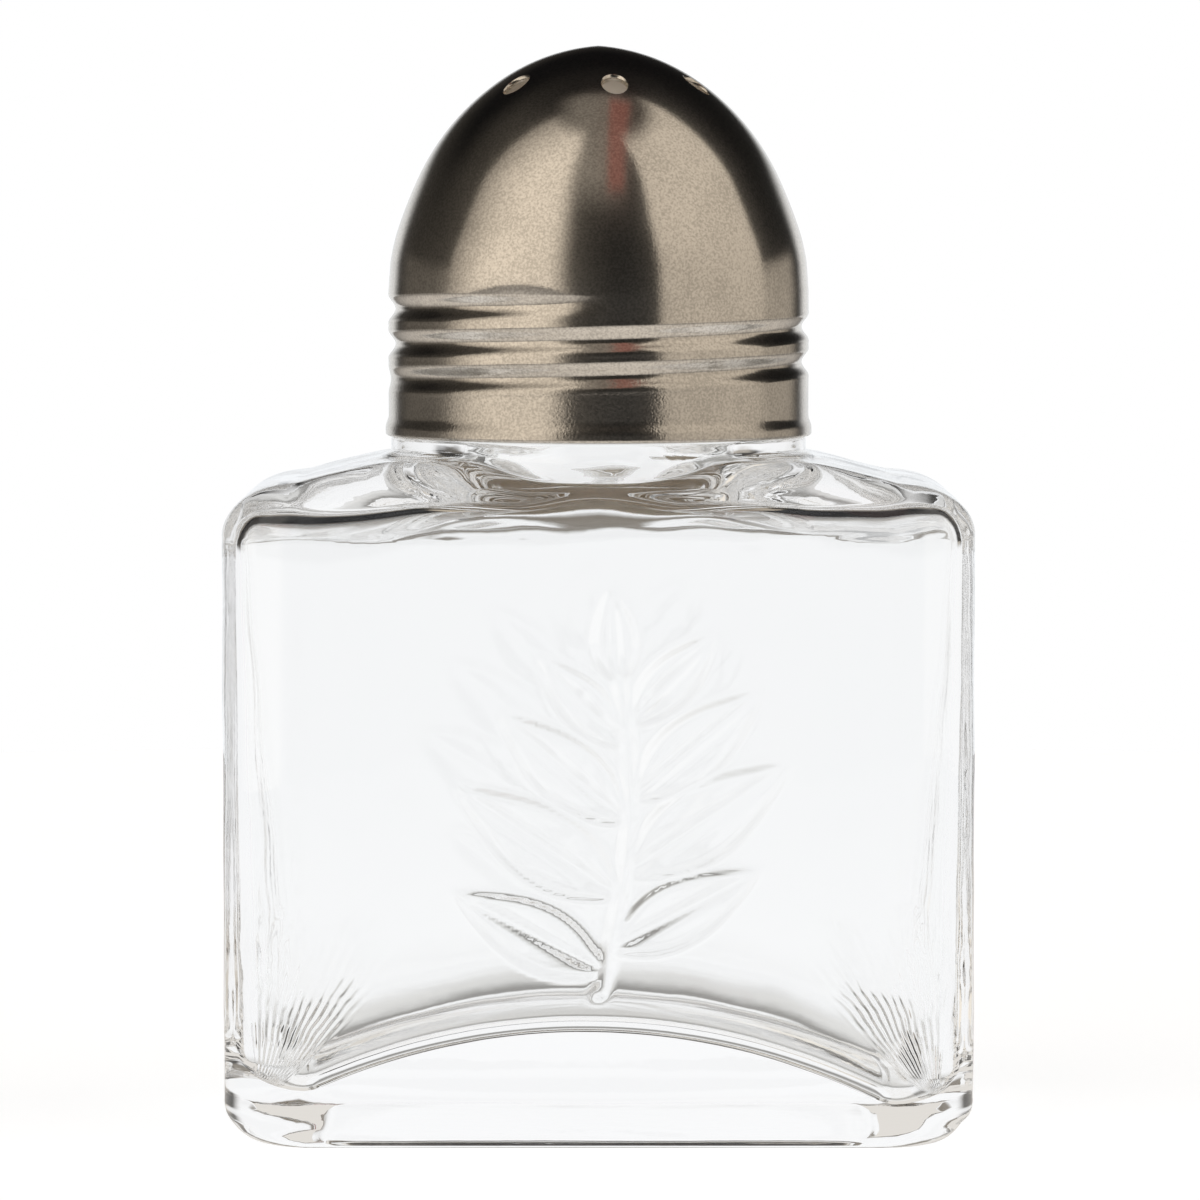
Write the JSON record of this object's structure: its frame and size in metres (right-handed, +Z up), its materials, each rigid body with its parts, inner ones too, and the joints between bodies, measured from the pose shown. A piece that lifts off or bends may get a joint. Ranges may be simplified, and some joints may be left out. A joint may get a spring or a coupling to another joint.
{
  "type": "salt shaker",
  "caption": "Flat rectangular glass bottle with rounded edges and a thick domed base, closed by a domed steel screw cap pierced with pouring holes.",
  "frame": {"origin": "middle of the foot that the bottle stands on", "axes": "+Z up along the neck and cap; X across the wide front face; Y from the front face to the back face"},
  "size_m": [0.0526, 0.034, 0.0764],
  "materials": {
    "glass": "clear pressed glass, glossy, slightly wavy",
    "steel": "satin drawn stainless steel with fine scratches"
  },
  "bodies": {
    "bottle": {"glass_bottle": "glass"},
    "cap": {"screw_cap": "steel"}
  },
  "joints": [
    {"name": "cap_lift", "type": "slide", "parent": "bottle", "child": "cap", "axis": [0, 0, 1], "range_m": [0, 0.03]}
  ]
}
